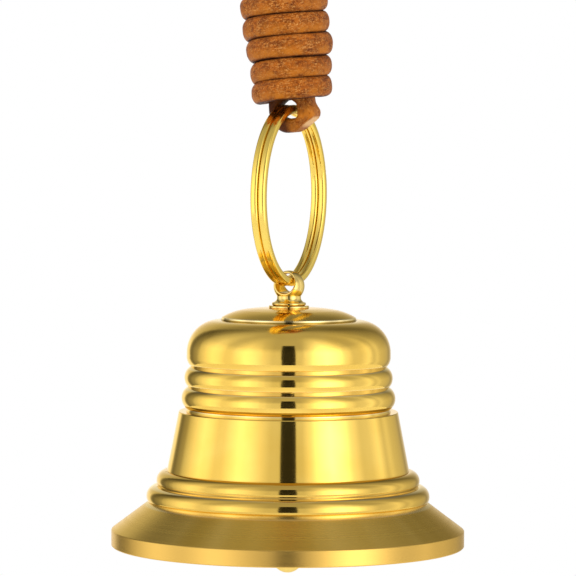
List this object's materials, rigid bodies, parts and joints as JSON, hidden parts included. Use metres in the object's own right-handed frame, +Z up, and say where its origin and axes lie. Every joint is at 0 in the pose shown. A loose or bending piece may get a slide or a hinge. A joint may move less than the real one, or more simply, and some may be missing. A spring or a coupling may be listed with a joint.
{
  "type": "handbell",
  "caption": "Small turned brass handbell with a loose clapper, hung by a split ring from a short leather grip bound with cord that opens into a hanging loop.",
  "frame": {"origin": "inside top of the hanging loop, over the bell's axis", "axes": "+Z up along the bell's axis, rim at z = -0.131; -Y to the front; the split ring's plane is turned 20.5 degrees from the Y axis"},
  "size_m": [0.059, 0.059, 0.1382],
  "materials": {
    "bell_brass": "polished",
    "hardware_brass": "polished",
    "ring_brass": "polished",
    "zinc_steel": "satin",
    "lace_leather": "smooth, waxed",
    "binding_leather": "smooth, waxed"
  },
  "bodies": {
    "handle": {"leather_lace": "lace_leather", "binding_cord": "binding_leather"},
    "ring": {"split_ring": "ring_brass"},
    "bell": {"eye_bolt": "hardware_brass", "crown_washer": "hardware_brass", "bell_shell": "bell_brass", "inner_washer": "zinc_steel", "lock_washer": "zinc_steel", "crown_nut": "zinc_steel", "clapper_hanger": "hardware_brass"},
    "link": {"clapper_link": "hardware_brass"},
    "clapper": {"clapper_rod": "hardware_brass", "clapper_ball": "hardware_brass", "clapper_cap_nut": "hardware_brass"}
  },
  "joints": [
    {"name": "ring_swing", "type": "hinge", "parent": "handle", "child": "ring", "pos_m": [0, 0, -0.05812], "axis": [0.3502, 0.9367, 0], "range_deg": [-75, 75]},
    {"name": "bell_swing", "type": "hinge", "parent": "ring", "child": "bell", "pos_m": [0, 0, -0.07247], "axis": [0.9367, -0.3502, 0], "range_deg": [-110, 110]},
    {"name": "link_swing", "type": "hinge", "parent": "bell", "child": "link", "pos_m": [0, 0, -0.10359], "axis": [1, 0, 0], "range_deg": [-15, 15]},
    {"name": "clapper_swing", "type": "hinge", "parent": "link", "child": "clapper", "pos_m": [0, 0, -0.10679], "axis": [0, 1, 0], "range_deg": [-37, 37]}
  ]
}
